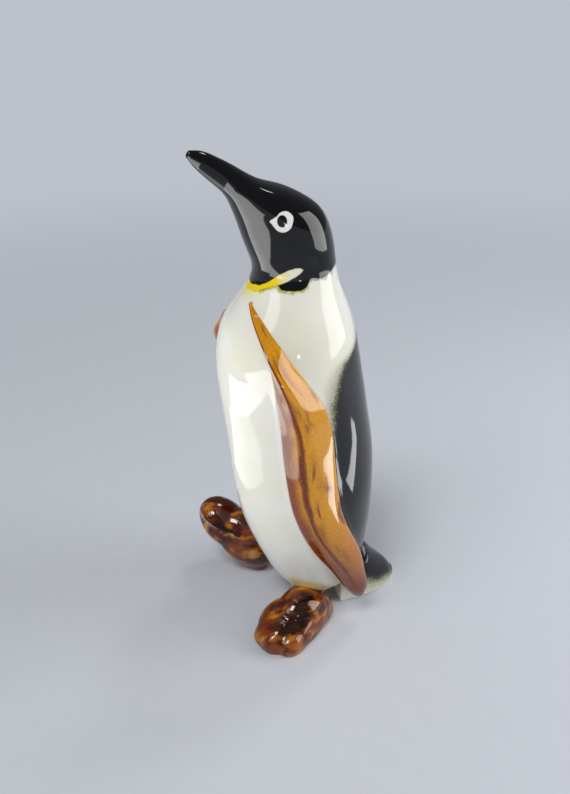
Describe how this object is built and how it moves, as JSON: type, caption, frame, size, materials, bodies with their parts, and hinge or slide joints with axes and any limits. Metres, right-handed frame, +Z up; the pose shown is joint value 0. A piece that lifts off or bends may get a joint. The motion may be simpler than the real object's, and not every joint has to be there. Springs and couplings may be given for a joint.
{
  "type": "penguin figurine",
  "caption": "Glazed ceramic penguin figurine in a striding pose, with a raised beak, flippers held to its sides, webbed feet and a tail that it leans back on.",
  "frame": {"origin": "on the ground, under the middle of the figurine's bounding box", "axes": "+Z up, the penguin faces -Y, its own left side is +X"},
  "size_m": [0.0304, 0.0326, 0.0754],
  "materials": {
    "white_glaze": "gloss",
    "black_glaze": "gloss",
    "brown_glaze": "gloss",
    "slip": "matte"
  },
  "bodies": {
    "root": {"torso": "white_glaze", "head": "black_glaze", "tail": "black_glaze", "left_flipper": "brown_glaze", "right_flipper": "brown_glaze", "left_foot": "brown_glaze", "right_foot": "brown_glaze", "neck_slip": "slip", "tail_slip": "slip", "left_flipper_slip": "slip", "right_flipper_slip": "slip", "left_foot_slip": "slip", "right_foot_slip": "slip"}
  },
  "joints": []
}
